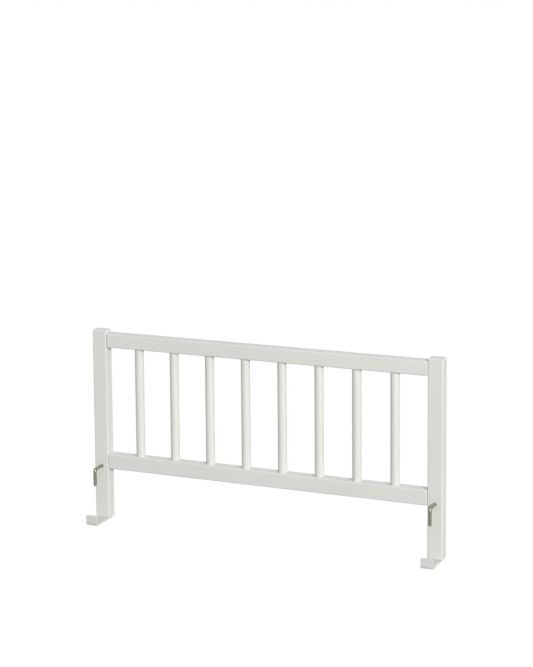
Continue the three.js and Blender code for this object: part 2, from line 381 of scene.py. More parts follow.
def wood_grain_group():
    """Long fibres and slow growth bands, drawn out along one direction."""
    tree, given = new_group("wood_grain", "ShaderNodeTree", {
        "Vector": ORIGIN, "Draw Out": (0.04, 1.0, 1.0), "Fibre Scale": 700.0, "Band Scale": 90.0,
    }, ["Fibres", "Bands"])
    drawn = drawn_out(tree, given)
    return ended(tree, {
        "Fibres": noise(tree, drawn, given["Fibre Scale"], detail=3.0, roughness=0.6),
        "Bands": noise(tree, drawn, given["Band Scale"], detail=2.0, roughness=0.5,
                       distortion=0.6)})


def edge_wear_group():
    """Where a finish is thinner along an edge, broken up by noise; painted wood also uses it to place
    a painted highlight.
    """
    tree, given = new_group("edge_wear", "ShaderNodeTree", {
        "Vector": ORIGIN, "Edge": 0.0, "Break Scale": 45.0, "Start": 0.25}, ["Mask"])
    patches = noise(tree, given["Vector"], given["Break Scale"], detail=4.0, roughness=0.6)
    mask = place(tree, "ShaderNodeMapRange", {
        "Value": times(tree, given["Edge"], patches), "From Min": given["Start"], "From Max": 0.6},
        interpolation_type="SMOOTHSTEP")
    return ended(tree, {"Mask": mask.outputs[0]})


def drawn_metal_group():
    """Fine lines left by drawing or turning, with soft stains."""
    tree, given = new_group("drawn_metal", "ShaderNodeTree", {
        "Vector": ORIGIN, "Draw Out": (1.0, 1.0, 0.02), "Line Scale": 900.0, "Stain Scale": 60.0,
    }, ["Lines", "Stains"])
    return ended(tree, {
        "Lines": noise(tree, drawn_out(tree, given), given["Line Scale"], detail=2.0,
                       roughness=0.6),
        "Stains": noise(tree, given["Vector"], given["Stain Scale"], detail=4.0,
                        roughness=0.55)})


# Materials

def new_material(name):
    """A material with an empty Principled BSDF. Returns its tree, shader and object coordinates."""
    material = bpy.data.materials.new(name)
    material.use_nodes = True
    tree = material.node_tree
    tree.nodes.clear()
    shader = tree.nodes.new("ShaderNodeBsdfPrincipled")
    place(tree, "ShaderNodeOutputMaterial", {"Surface": shader.outputs[0]})
    coordinates = tree.nodes.new("ShaderNodeTexCoord").outputs["Object"]
    return material, tree, shader, coordinates


def tint(colour, share):
    """A colour made darker or lighter by a share, opaque."""
    return (*(min(1.0, channel * share) for channel in colour), 1.0)


def blended(tree, share, first, second):
    """A colour between two, by a share that changes over the surface."""
    mix = place(tree, "ShaderNodeMix", {"Factor": share}, data_type="RGBA")
    for label, value in (("A", first), ("B", second)):
        fill(tree, next(s for s in mix.inputs if s.name == label and s.type == "RGBA"), value)
    return next(s for s in mix.outputs if s.type == "RGBA")


def ranged(tree, value, low, high):
    """Takes the middle of a noise to a range."""
    return place(tree, "ShaderNodeMapRange", {
        "Value": value, "From Min": 0.3, "From Max": 0.7, "To Min": low, "To Max": high,
    }).outputs[0]


def mottled(tree, spots, colour, dark, light):
    """A colour that drifts with a noise between a darker and a lighter share of itself."""
    return blended(tree, ranged(tree, spots, 0.0, 1.0), tint(colour, dark), tint(colour, light))


def worn_edges(tree, here, break_scale, start):
    """Where a piece's finish is thin along its edges, which its edge attribute marks; on painted wood
    the same mask also lightens the edges as a painted highlight.
    """
    edge = place(tree, "ShaderNodeAttribute", attribute_name="edge").outputs["Fac"]
    return use_group(tree, edge_wear_group, {
        "Vector": here, "Edge": edge, "Break Scale": break_scale, "Start": start})["Mask"]


def finish_surface(tree, shader, colour, roughness, height, relief):
    """Links colour and roughness, and a bump whose full height stands for a real relief."""
    bump = place(tree, "ShaderNodeBump", {"Strength": 1.0, "Distance": relief, "Height": height})
    tree.links.new(colour, shader.inputs["Base Color"])
    tree.links.new(roughness, shader.inputs["Roughness"])
    tree.links.new(bump.outputs[0], shader.inputs["Normal"])


def painted_wood(name, draw_out):
    """Satin paint over wood whose fibres still show faintly, drawn out along the piece."""
    paint = bpy.context.scene.guard_wood.paint_colour
    material, tree, shader, here = new_material(name)
    film = use_group(tree, paint_film_group, {
        "Vector": here, "Peel Scale": 420.0, "Drift Scale": 6.0})
    grain = use_group(tree, wood_grain_group, {
        "Vector": here, "Draw Out": draw_out, "Fibre Scale": 650.0, "Band Scale": 110.0})
    worn = worn_edges(tree, here, break_scale=60.0, start=0.22)
    body = mottled(tree, film["Tone"], paint, dark=0.975, light=1.02)
    grained = blended(tree, ranged(tree, grain["Bands"], 0.0, 0.35), body, tint(paint, 0.985))
    # The eased edges are painted lighter here, a painted highlight where light catches the rounding;
    # the lower roughness there is real gloss from handling
    edged = blended(tree, times(tree, worn, 0.35), grained, tint(paint, 1.04))
    roughness = reckon(tree, "SUBTRACT", ranged(tree, film["Gloss"], 0.48, 0.58),
                       times(tree, worn, 0.05))
    wood = reckon(tree, "ADD", times(tree, grain["Fibres"], 0.9), times(tree, grain["Bands"], 1.6))
    height = reckon(tree, "ADD", film["Height"], wood)
    finish_surface(tree, shader, edged, roughness, height, relief=0.012 * MM)
    return material


def bare_beech(name):
    """Bare beech with short dark flecks along the fibres."""
    wood = bpy.context.scene.guard_wood.bare_colour
    material, tree, shader, here = new_material(name)
    grain = use_group(tree, wood_grain_group, {
        "Vector": here, "Draw Out": (0.05, 1.0, 1.0), "Fibre Scale": 900.0, "Band Scale": 260.0})
    body = mottled(tree, grain["Bands"], wood, dark=0.82, light=1.1)
    flecked = blended(tree, ranged(tree, grain["Fibres"], 0.0, 0.5), body, tint(wood, 0.62))
    roughness = ranged(tree, grain["Fibres"], 0.6, 0.8)
    finish_surface(tree, shader, flecked, roughness, grain["Fibres"], relief=0.03 * MM)
    return material


def powder_coat(name):
    """Powder coat on bent steel: coarser peel than the paint, thinner along the edges."""
    coat = bpy.context.scene.guard_steel.coat_colour
    material, tree, shader, here = new_material(name)
    film = use_group(tree, paint_film_group, {
        "Vector": here, "Peel Scale": 900.0, "Drift Scale": 14.0})
    worn = worn_edges(tree, here, break_scale=140.0, start=0.3)
    body = mottled(tree, film["Tone"], coat, dark=0.97, light=1.02)
    edged = blended(tree, times(tree, worn, 0.4), body, tint(coat, 0.93))
    roughness = ranged(tree, film["Gloss"], 0.50, 0.62)
    finish_surface(tree, shader, edged, roughness, film["Height"], relief=0.02 * MM)
    return material


def plated_steel(name, plate, roughness, draw_out):
    """Plated steel in the colour of a setting, with the lines of its making along one direction."""
    colour = getattr(bpy.context.scene.guard_steel, plate)
    material, tree, shader, here = new_material(name)
    shader.inputs["Metallic"].default_value = 1.0
    marks = use_group(tree, drawn_metal_group, {
        "Vector": here, "Draw Out": draw_out, "Line Scale": 1400.0, "Stain Scale": 120.0})
    worn = worn_edges(tree, here, break_scale=400.0, start=0.25)
    body = mottled(tree, marks["Stains"], colour, dark=0.86, light=1.08)
    edged = blended(tree, times(tree, worn, 0.5), body, tint(colour, 1.35))
    lined = reckon(tree, "ADD", ranged(tree, marks["Lines"], -0.06, 0.06), roughness)
    finish_surface(tree, shader, edged, lined, marks["Lines"], relief=0.006 * MM)
    return material


# Each finish by its name: the function that makes it, and the values that it takes
FINISHES = {
    "painted_upright": (painted_wood, {"draw_out": (1.0, 1.0, 0.04)}),
    "painted_along": (painted_wood, {"draw_out": (0.04, 1.0, 1.0)}),
    "bare_beech": (bare_beech, {}),
    "powder_coat": (powder_coat, {}),
    "nickel_rod": (plated_steel, {
        "plate": "rod_colour", "roughness": 0.42, "draw_out": (1.0, 1.0, 0.03)}),
    "zinc_plate": (plated_steel, {
        "plate": "zinc_colour", "roughness": 0.34, "draw_out": (1.0, 0.05, 1.0)}),
}


def material_of(name):
    """The material of a finish, made the first time that a piece asks for it."""
    maker, values = FINISHES[name]
    return bpy.data.materials.get(name) or maker(name, **values)


# Mesh tools

def ring_round(centre, across, upward, radii):
    """Points round a centre in the plane of two unit directions, one point for each radius."""
    ring = []
    for step, radius in enumerate(radii):
        angle = 2 * math.pi * step / len(radii)
        ring.append(centre + across * (radius * math.cos(angle)) + upward * (radius * math.sin(angle)))
    return ring


def loft(bm, rings):
    """A closed skin over rings of equal count, with a cap at each end."""
    rows = [[bm.verts.new(point) for point in ring] for ring in rings]
    count = len(rows[0])
    for low, high in zip(rows, rows[1:]):
        for i in range(count):
            j = (i + 1) % count
            bm.faces.new((low[i], low[j], high[j], high[i]))
    bm.faces.new(list(reversed(rows[0])))
    bm.faces.new(rows[-1])


def turned(bm, start, direction, profile, sides):
    """A solid turned about a unit direction. Its profile gives distance along it and radius."""
    across = direction.orthogonal().normalized()
    upward = direction.cross(across)
    loft(bm, [ring_round(start + direction * along, across, upward, [radius] * sides)
              for along, radius in profile])


def mesh_object(name, bm):
    """An object at the origin from a bmesh whose faces point outwards."""
    bmesh.ops.recalc_face_normals(bm, faces=bm.faces)
    mesh = bpy.data.meshes.new(name)
    bm.to_mesh(mesh)
    bm.free()
    made = bpy.data.objects.new(name, mesh)
    bpy.context.scene.collection.objects.link(made)
    return made


def settled(made):
    """Turns an object's modifiers into its plain mesh."""
    graph = bpy.context.evaluated_depsgraph_get()
    mesh = bpy.data.meshes.new_from_object(made.evaluated_get(graph))
    made.modifiers.clear()
    made.data = mesh
    return made


def cut_away(made, bm):
    """Takes the solids of a bmesh out of an object."""
    cutter = mesh_object(made.name + "_cutter", bm)
    modifier = made.modifiers.new("cut", "BOOLEAN")
    modifier.operation = "DIFFERENCE"
    modifier.solver = "EXACT"
    modifier.object = cutter
    settled(made)
    bpy.data.objects.remove(cutter)


def smoothed(made, angle=SHARP_ANGLE):
    """Smooth faces, sharp where they meet at more than an angle, flat faces kept flat."""
    made.data.shade_smooth()
    made.data.set_sharp_from_angle(angle=angle)
    modifier = made.modifiers.new("normals", "WEIGHTED_NORMAL")
    modifier.keep_sharp = True
    return settled(made)


def mark_edges(made, closeness):
    """Stores how close each point is to an edge, from 0 to 1, for the materials."""
    layer = made.data.attributes.new("edge", "FLOAT", "POINT")
    layer.data.foreach_set("value", [closeness(vertex.co) for vertex in made.data.vertices])


def dress(made, material, body, nodes):
    """Gives a piece its material and body, and hides the nodes that it stands for."""
    made.data.materials.clear()
    made.data.materials.append(material)
    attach(made, body)
    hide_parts(*nodes)


def body_of(node):
    """The body that a node of the frame rides on."""
    bodies = frame["record"]["behaviour"]["bodies"]
    return next(name for name, nodes in bodies.items() if node in nodes)


def middle_of(node, **at):
    """The middle of a node's box, or that point moved to a given x, y or z."""
    low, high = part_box(node)
    middle = (low + high) / 2
    for axis, value in at.items():
        setattr(middle, axis, value)
    return middle


def half_width_of(node):
    """Half the width of a node's box along X, which is the radius of a round one."""
    low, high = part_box(node)
    return (high.x - low.x) / 2


def screws_of(side):
    """The screws of one side's bracket."""
    return [name for name in SCREWS if name.startswith(side)]


# Posts and rails

def round_edges(bm, edges, radius, steps):
    """Rounds some of the edges of a bmesh."""
    bmesh.ops.bevel(bm, geom=edges, offset=radius, offset_type="OFFSET", segments=steps,
                    profile=0.5, affect="EDGES")


def eased_bar(name, node, foot=False):
    """A bar with the box of its node and every edge eased, less so round a foot."""
    wood = bpy.context.scene.guard_wood
    low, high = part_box(node)
    bm = bmesh.new()
    bmesh.ops.create_cube(bm, size=1.0)
    bmesh.ops.transform(bm, verts=bm.verts, matrix=Matrix.LocRotScale(
        middle_of(node), None, high - low))

    def lies_below(edge, height):
        return max(vertex.co.z for vertex in edge.verts) < low.z + height

    eased = [edge for edge in bm.edges if not (foot and lies_below(edge, MM))]
    round_edges(bm, eased, wood.edge_round, wood.edge_steps)
    if foot:
        around = [edge for edge in bm.edges if lies_below(edge, MM / 10)]
        round_edges(bm, around, wood.foot_ease, FOOT_STEPS)
    return mesh_object(name, bm)


def closeness_to_box_edge(node, reach):
    """How close a point is to an edge of a node's box, from 0 to 1."""
    low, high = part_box(node)

    def closeness(point):
        depths = sorted(min(point[i] - low[i], high[i] - point[i]) for i in range(3))
        return max(0.0, 1.0 - depths[1] / reach)

    return closeness


def dowel_holes(bm, word):
    """Adds the holes for the dowels of a rail or of a side, which their names give."""
    wood = bpy.context.scene.guard_wood
    for name in DOWELS:
        if word in name.split("_"):
            low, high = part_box(name)
            radius = (high.z - low.z) / 2 + wood.joint_play
            turned(bm, middle_of(name, x=low.x), RIGHT, [(0, radius), (high.x - low.x, radius)],
                   HOLE_SIDES)


def finish_bar(bar, node, holes, finish):
    """Cuts the holes of a post or rail, marks its edges and paints it."""
    cut_away(bar, holes)
    mark_edges(bar, closeness_to_box_edge(node, bpy.context.scene.guard_wood.edge_round))
    smoothed(bar)
    dress(bar, material_of(finish), body_of(node), [node])


def make_post(side):
    """A post with its holes for hook, insert, dowels and bracket screws."""
    wood = bpy.context.scene.guard_wood
    node, insert = f"{side}_post", f"{side}_hook_insert"
    low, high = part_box(node)
    post = eased_bar(f"{side}_post_painted", node, foot=True)
    rod = half_width_of(f"{side}_hook") + wood.rod_play
    seat = half_width_of(insert) + wood.joint_play
    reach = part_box(insert)[0].y - low.y
    mouth = MM / 2
    holes = bmesh.new()
    turned(holes, middle_of(insert, y=low.y), BACK, [
        (-OVERCUT, rod + mouth), (0, rod + mouth), (mouth, rod), (reach, rod), (reach, seat),
        (high.y - low.y + OVERCUT, seat)], ROD_SIDES)
    dowel_holes(holes, side)
    thread = bpy.context.scene.guard_steel.screw_diameter / 2
    for name in screws_of(side):
        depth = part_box(name)[1].z - low.z
        turned(holes, middle_of(name, z=low.z), UP, [(-OVERCUT, thread), (depth, thread)],
               HOLE_SIDES)
    finish_bar(post, node, holes, "painted_upright")


def make_rail(word):
    """A rail with its blind holes for spindles and dowels."""
    wood = bpy.context.scene.guard_wood
    node = f"{word}_rail"
    low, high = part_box(node)
    rail = eased_bar(f"{word}_rail_painted", node)
    holes = bmesh.new()
    for name in SPINDLES:
        first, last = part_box(name)
        radius = half_width_of(name) + wood.joint_play
        bottom, top = max(first.z, low.z - OVERCUT), min(last.z, high.z + OVERCUT)
        turned(holes, middle_of(name, z=bottom), UP, [(0, radius), (top - bottom, radius)],
               wood.spindle_sides)
    dowel_holes(holes, word)
    finish_bar(rail, node, holes, "painted_along")


# Geometry node trees

def by_index(tree, values):
    """A number for each point in turn, chosen by the point's number."""
    number = tree.nodes.new("GeometryNodeInputIndex").outputs[0]
    switch = place(tree, "GeometryNodeIndexSwitch", {"Index": number}, data_type="FLOAT")
    while len(switch.index_switch_items) < len(values):
        switch.index_switch_items.new()
    for item, value in enumerate(values):
        fill(tree, switch.inputs[item + 1], value)
    return switch.outputs[0]


def circle(tree, sides, radius):
    """A circle as a curve."""
    return place(tree, "GeometryNodeCurvePrimitiveCircle", {
        "Resolution": sides, "Radius": radius}).outputs[0]


def swept(tree, curve, section, **more):
    """A mesh from a section that is drawn along a curve."""
    return place(tree, "GeometryNodeCurveToMesh", {
        "Curve": curve, "Profile Curve": section, **more}).outputs[0]


def block(tree, **sizes):
    """A box about the origin from its sizes along X, Y and Z."""
    return place(tree, "GeometryNodeMeshCube", {"Size": combined(tree, **sizes)}).outputs[0]


def moved(tree, geometry, **change):
    """A geometry with a new Translation, Rotation or both."""
    return place(tree, "GeometryNodeTransform", {"Geometry": geometry, **change}).outputs[0]


def joined(tree, *parts):
    """Several meshes as one."""
    node = tree.nodes.new("GeometryNodeJoinGeometry")
    for part in parts:
        tree.links.new(part, node.inputs[0])
    return node.outputs[0]


def cut_by(tree, blank, *cutters):
    """A solid without the room that the cutters take."""
    union = place(tree, "GeometryNodeMeshBoolean", operation="UNION", solver="EXACT")
    for cutter in cutters:
        tree.links.new(cutter, union.inputs["Mesh 2"])
    return place(tree, "GeometryNodeMeshBoolean", {"Mesh 1": blank, "Mesh 2": union.outputs[0]},
                 operation="DIFFERENCE", solver="EXACT").outputs[0]


def revolved(tree, heights, radii, section):
    """A solid about +Z from heights and radii, drawn out of a section with a radius of 1."""
    line = place(tree, "GeometryNodeMeshLine", {"Count": len(heights)}).outputs[0]
    spaced = place(tree, "GeometryNodeSetPosition", {
        "Geometry": line, "Position": combined(tree, Z=by_index(tree, heights))}).outputs[0]
    curve = place(tree, "GeometryNodeMeshToCurve", {"Mesh": spaced}).outputs[0]
    return swept(tree, curve, section, **{"Scale": by_index(tree, radii), "Fill Caps": True})


def eased_rod_group():
    """A round or fluted rod along +Z with chamfered ends."""
    tree, given = new_group("eased_rod", "GeometryNodeTree", {
        "Diameter": 22 * MM, "Length": 290 * MM, "Ease": 1 * MM, "Sides": 64, "Flute Share": 0.0,
    }, ["Mesh"])
    radius = times(tree, given["Diameter"], 0.5)
    small = reckon(tree, "SUBTRACT", radius, given["Ease"])
    top = reckon(tree, "SUBTRACT", given["Length"], given["Ease"])
    star = place(tree, "GeometryNodeCurveStar", {
        "Points": times(tree, given["Sides"], 0.5), "Outer Radius": 1.0,
        "Inner Radius": reckon(tree, "SUBTRACT", 1.0, given["Flute Share"])}).outputs[0]
    return ended(tree, {"Mesh": revolved(
        tree, [0.0, given["Ease"], top, given["Length"]], [small, radius, radius, small], star)})


def thread_ridge_group():
    """A screw thread's ridge round +Z."""
    tree, given = new_group("thread_ridge", "GeometryNodeTree", {
        "Diameter": 4 * MM, "Pitch": 2 * MM, "Start": 0.0, "Length": 20 * MM, "Ridge": 0.4 * MM,
    }, ["Mesh"])
    radius = times(tree, given["Diameter"], 0.5)
    spiral = place(tree, "GeometryNodeCurveSpiral", {
        "Resolution": 20, "Rotations": reckon(tree, "DIVIDE", given["Length"], given["Pitch"]),
        "Start Radius": radius, "End Radius": radius, "Height": given["Length"]}).outputs[0]
    ridge = swept(tree, spiral, circle(tree, 3, given["Ridge"]), **{"Fill Caps": True})
    return ended(tree, {"Mesh": moved(tree, ridge, Translation=combined(tree, Z=given["Start"]))})


def copies_tree(name, inputs):
    """A tree that puts copies on the points of its object. Returns it with its inputs."""
    return new_group(name, "GeometryNodeTree", {"Geometry": None, **inputs}, ["Geometry"])


def finish_copies(tree, points, shape, material, sharp=SHARP_ANGLE):
    """Ends a tree: real copies of a shape on points, smooth but sharp at an angle, coloured."""
    copies = place(tree, "GeometryNodeInstanceOnPoints", {
        "Points": points, "Instance": shape}).outputs[0]
    real = place(tree, "GeometryNodeRealizeInstances", {"Geometry": copies}).outputs[0]
    smooth = place(tree, "GeometryNodeSetShadeSmooth", {"Geometry": real}).outputs[0]
    angle = tree.nodes.new("GeometryNodeInputMeshEdgeAngle").outputs[0]
    steep = place(tree, "FunctionNodeCompare", {0: angle, 1: sharp},
                  data_type="FLOAT", operation="GREATER_THAN").outputs[0]
    marked = place(tree, "GeometryNodeStoreNamedAttribute", {
        "Geometry": smooth, "Name": "sharp_edge"}, data_type="BOOLEAN", domain="EDGE")
    tree.links.new(steep, next(s for s in marked.inputs if s.name == "Value" and s.enabled))
    return ended(tree, {"Geometry": place(tree, "GeometryNodeSetMaterial", {
        "Geometry": marked.outputs[0], "Material": material}).outputs[0]})


def on_points(name, tree_maker, points, values, material):
    """Runs a tree over points, with values for its named inputs, and keeps the plain mesh."""
    mesh = bpy.data.meshes.new(name)
    mesh.from_pydata(points, [], [])
    made = bpy.data.objects.new(name, mesh)
    bpy.context.scene.collection.objects.link(made)
    modifier = made.modifiers.new("copies", "NODES")
    modifier.node_group = tree_maker(material)
    for item in modifier.node_group.interface.items_tree:
        if item.in_out == "INPUT" and item.name in values:
            modifier[item.identifier] = values[item.name]
    settled(made)
    made.data.materials.clear()
    made.data.materials.append(material)
    return made


def spindle_tree(material):
    """Spindles on points, which are their feet."""
    sizes = {"Diameter": 22 * MM, "Length": 290 * MM, "Ease": 1 * MM, "Sides": 64}
    tree, given = copies_tree("spindle_copies", sizes)
    rod = use_group(tree, eased_rod_group, {name: given[name] for name in sizes})["Mesh"]
    return finish_copies(tree, given["Geometry"], rod, material)


def bead_tree(material):
    """Rings of paint round the spindles where they meet the rails."""
    tree, given = copies_tree("bead_copies", {
        "Diameter": 22 * MM, "Bead": 0.35 * MM, "Sides": 64})
    ring = circle(tree, given["Sides"], times(tree, given["Diameter"], 0.5))
    bead = swept(tree, ring, circle(tree, 8, given["Bead"]))
    return finish_copies(tree, given["Geometry"], bead, material, math.radians(80))


def dowel_tree(material):
    """Fluted dowels along +X, on points at their middles."""
    tree, given = copies_tree("dowel_copies", {
        "Diameter": 8 * MM, "Length": 35 * MM, "Flute Share": 0.06})
    rod = use_group(tree, eased_rod_group, {
        "Diameter": given["Diameter"], "Length": given["Length"], "Ease": 1 * MM,
        "Sides": DOWEL_SIDES, "Flute Share": given["Flute Share"]})["Mesh"]
    laid = moved(tree, rod, Rotation=(0.0, math.pi / 2, 0.0),
                 Translation=combined(tree, X=times(tree, given["Length"], -0.5)))
    return finish_copies(tree, given["Geometry"], laid, material, math.radians(60))


def screw_tree(material):
    """Countersunk screws with a cross recess, upward from points at their heads' faces."""
    tree, given = copies_tree("screw_copies", {
        "Head Diameter": 8.4 * MM, "Head Rim": 0.5 * MM, "Head Height": 2.4 * MM,
        "Diameter": 4.5 * MM, "Length": 34 * MM, "Tip": 7 * MM, "Tip Radius": 0.1 * MM,
        "Pitch": 2 * MM, "Ridge": 0.45 * MM})
    head = times(tree, given["Head Diameter"], 0.5)
    core = reckon(tree, "SUBTRACT", times(tree, given["Diameter"], 0.5), given["Ridge"])
    shoulder = reckon(tree, "SUBTRACT", given["Length"], given["Tip"])
    blank = revolved(
        tree, [0.0, given["Head Rim"], given["Head Height"], shoulder, given["Length"]],
        [head, head, core, core, given["Tip Radius"]], circle(tree, SCREW_SIDES, 1.0))
    web = times(tree, given["Head Diameter"], 0.13)
    deep = times(tree, given["Head Height"], 1.3)
    recessed = cut_by(tree, blank, block(tree, X=head, Y=web, Z=deep),
                      block(tree, X=web, Y=head, Z=deep))
    start = times(tree, given["Head Height"], 2.0)
    ridge = use_group(tree, thread_ridge_group, {
        "Diameter": times(tree, core, 2.0), "Pitch": given["Pitch"], "Start": start,
        "Length": reckon(tree, "SUBTRACT", shoulder, start), "Ridge": given["Ridge"]})["Mesh"]
    return finish_copies(tree, given["Geometry"], joined(tree, recessed, ridge), material)


def insert_tree(material):
    """Slotted threaded inserts along -Y from points at the middles of their outer faces."""
    tree, given = copies_tree("insert_copies", {
        "Diameter": 12 * MM, "Bore": 8.6 * MM, "Length": 15 * MM, "Ease": 0.6 * MM,
        "Slot": 1.6 * MM, "Pitch": 3 * MM, "Ridge": 0.5 * MM})
    core = reckon(tree, "SUBTRACT", given["Diameter"], given["Ridge"])
    blank = use_group(tree, eased_rod_group, {
        "Diameter": core, "Length": given["Length"], "Ease": given["Ease"],
        "Sides": ROD_SIDES})["Mesh"]
    bore = place(tree, "GeometryNodeMeshCylinder", {
        "Vertices": ROD_SIDES, "Radius": times(tree, given["Bore"], 0.5),
        "Depth": times(tree, given["Length"], 4.0)}).outputs[0]
    slot = block(tree, X=times(tree, given["Diameter"], 2.0), Y=given["Slot"],
                 Z=times(tree, given["Slot"], 2.0))
    ridge = use_group(tree, thread_ridge_group, {
        "Diameter": core, "Pitch": given["Pitch"], "Start": times(tree, given["Slot"], 1.5),
        "Length": times(tree, given["Length"], 0.75),
        "Ridge": times(tree, given["Ridge"], 0.5)})["Mesh"]
    laid = moved(tree, joined(tree, cut_by(tree, blank, bore, slot), ridge),
                 Rotation=(math.pi / 2, 0.0, 0.0))
    return finish_copies(tree, given["Geometry"], laid, material)


# Hooks

def threaded_ring(start, along, radius, thread_length):
    """A ring of a hook's shank, chamfered at its end and cut by the thread, which fades out."""
    steel = bpy.context.scene.guard_steel
    limit = radius - max(0.0, steel.rod_chamfer - along)
    fade = min(1.0, max(0.0, (thread_length - along) / steel.thread_pitch))
    radii = []
    for side in range(ROD_SIDES):
        turn = (along / steel.thread_pitch - side / ROD_SIDES) % 1.0
        groove = steel.thread_depth * (1 - abs(2 * turn - 1))
        radii.append(min(limit, radius - groove * fade))
    return ring_round(start - BACK * along, RIGHT, UP, radii)


def hook_rings(low, high):
    """Rings along a hook: threaded shank, quarter bend and leg, with chamfered ends."""
    steel = bpy.context.scene.guard_steel
    radius = (high.x - low.x) / 2
    plain = [radius] * ROD_SIDES
    start = Vector(((low.x + high.x) / 2, high.y, high.z - radius))
    elbow = Vector((start.x, low.y + radius, start.z))
    tip = Vector((elbow.x, elbow.y, low.z))
    bend_in = elbow + BACK * steel.hook_bend
    bend_out = elbow - UP * steel.hook_bend
    thread_length = THREAD_TURNS * steel.thread_pitch
    total = THREAD_TURNS * THREAD_STEPS
    rings = [threaded_ring(start, step * thread_length / total, radius, thread_length)
             for step in range(total + 1)]
    near_bend = start.lerp(bend_in, 0.85)
    rings.append(ring_round(near_bend, RIGHT, UP, plain))
    centre = bend_in - UP * steel.hook_bend
    for step in range(HOOK_BEND_STEPS + 1):
        angle = math.pi / 2 * step / HOOK_BEND_STEPS
        outward = UP * math.cos(angle) - BACK * math.sin(angle)
        rings.append(ring_round(centre + outward * steel.hook_bend, RIGHT, outward, plain))
    leg_end = tip + UP * steel.rod_chamfer
    for share in (0.25, 0.5, 0.75, 1.0):
        rings.append(ring_round(bend_out.lerp(leg_end, share), RIGHT, -BACK, plain))
    rings.append(ring_round(tip, RIGHT, -BACK, [radius - steel.rod_chamfer] * ROD_SIDES))
    return rings


def make_hook(side):
    """A hook bent from plain rod, with the thread that turns in the post's insert."""
    node = f"{side}_hook"
    low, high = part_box(node)
    bm = bmesh.new()
    loft(bm, hook_rings(low, high))
    hook = mesh_object(f"{side}_hook_rod", bm)
    reach = 2 * bpy.context.scene.guard_steel.rod_chamfer
    mark_edges(hook, lambda point: max(0.0, 1 - abs(point.z - low.z - reach / 2) / reach))
    smoothed(hook)
    dress(hook, material_of("nickel_rod"), body_of(node), [node])


# Brackets

def strip_stations(low, high):
    """Places along a bracket's middle line: point, upward normal and distance from its nearer end."""
    steel = bpy.context.scene.guard_steel
    half = steel.strip_thickness / 2
    outer = steel.strip_bend + steel.strip_thickness
    x = (low.x + high.x) / 2
    back_end = Vector((x, high.y, low.z + half))
    bend_centre = Vector((x, low.y + outer, low.z + outer))
    lip_end = Vector((x, low.y + half, high.z))
    flat = back_end.y - bend_centre.y
    rise = lip_end.z - bend_centre.z
    ends = [steel.strip_corner * (1 - math.cos(math.pi / 2 * step / STRIP_CORNER_STEPS))
            for step in range(STRIP_CORNER_STEPS + 1)]
    stations = [(back_end - BACK * along, UP, along) for along in (*ends, flat * 0.4, flat * 0.7)]
    for step in range(STRIP_BEND_STEPS + 1):
        angle = math.pi / 2 * step / STRIP_BEND_STEPS
        outward = Vector((0, -math.sin(angle), -math.cos(angle)))
        stations.append((bend_centre + outward * (steel.strip_bend + half), -outward, flat))
    for left in (rise * 0.5, *reversed(ends)):
        if left < rise:
            stations.append((lip_end - UP * left, BACK, left))
    return stations


def drawn_in(radius, along):
    """How far a quarter round at the strip's end draws its outline in, a distance along it."""
    short = max(0.0, radius - along)
    return radius - math.sqrt(max(0.0, radius ** 2 - short ** 2))


def strip_ring(point, normal, half_width, half_thickness, rounding):
    """The rounded section of the strip at one station."""
    ring = []
    for quarter, (side, face) in enumerate(((1, 1), (-1, 1), (-1, -1), (1, -1))):
        for step in range(STRIP_EASE_STEPS + 1):
            angle = math.pi / 2 * (quarter + step / STRIP_EASE_STEPS)
            across = side * (half_width - rounding) + rounding * math.cos(angle)
            upward = face * (half_thickness - rounding) + rounding * math.sin(angle)
            ring.append(point + RIGHT * across + normal * upward)
    return ring


def make_bracket(side):
    """A bracket bent from flat steel, with rounded corners and countersunk holes."""
    steel = bpy.context.scene.guard_steel
    node = f"{side}_bracket"
    low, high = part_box(node)
    half_width = half_width_of(node)
    rings = []
    for point, normal, along in strip_stations(low, high):
        half_thickness = steel.strip_thickness / 2 - drawn_in(steel.strip_ease, along)
        rings.append(strip_ring(point, normal, half_width - drawn_in(steel.strip_corner, along),
                                half_thickness, min(steel.strip_ease, half_thickness)))
    bm = bmesh.new()
    loft(bm, rings)
    bracket = mesh_object(f"{side}_bracket_coated", bm)
    holes = bmesh.new()
    for name in screws_of(side):
        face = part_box(name)[0].z
        head = half_width_of(name) + HEAD_PLAY
        shank = steel.screw_diameter / 2 + SHANK_PLAY
        turned(holes, middle_of(name, z=0), UP, [
            (-OVERCUT, head), (face + steel.head_rim, head), (face + steel.head_height, shank),
            (steel.strip_thickness + OVERCUT, shank)], SCREW_SIDES)
    cut_away(bracket, holes)
    middle, reach = (low.x + high.x) / 2, 2 * steel.strip_ease
    mark_edges(bracket, lambda point: max(
        0.0, 1 - (half_width - abs(point.x - middle)) / reach))
    smoothed(bracket, math.radians(40))
    dress(bracket, material_of("powder_coat"), body_of(node), [node])


# Stage

def square_lamp(name, azimuth, elevation, width, power):
    """A square lamp that looks at the middle of the guard from an azimuth and an elevation."""
    data = bpy.data.lights.new(name, "AREA")
    data.shape = "SQUARE"
    data.size = width
    data.energy = power
    way = Vector((math.sin(azimuth) * math.cos(elevation), -math.cos(azimuth) * math.cos(elevation),
                  math.sin(elevation)))
    middle = (Vector(cad_box[0]) + Vector(cad_box[1])) / 2
    lamp = bpy.data.objects.new(name, data)
    lamp.location = middle + way * bpy.context.scene.guard_stage.lamp_distance
    lamp.rotation_euler = way.to_track_quat("Z", "Y").to_euler()
    bpy.context.scene.collection.objects.link(lamp)
    return lamp


def by_viewer(tree, others, camera):
    """One shader for the camera, and another for all other light."""
    seen = tree.nodes.new("ShaderNodeLightPath").outputs["Is Camera Ray"]
    return place(tree, "ShaderNodeMixShader", {
        0: seen, 1: others.outputs[0], 2: camera.outputs[0]}).outputs[0]


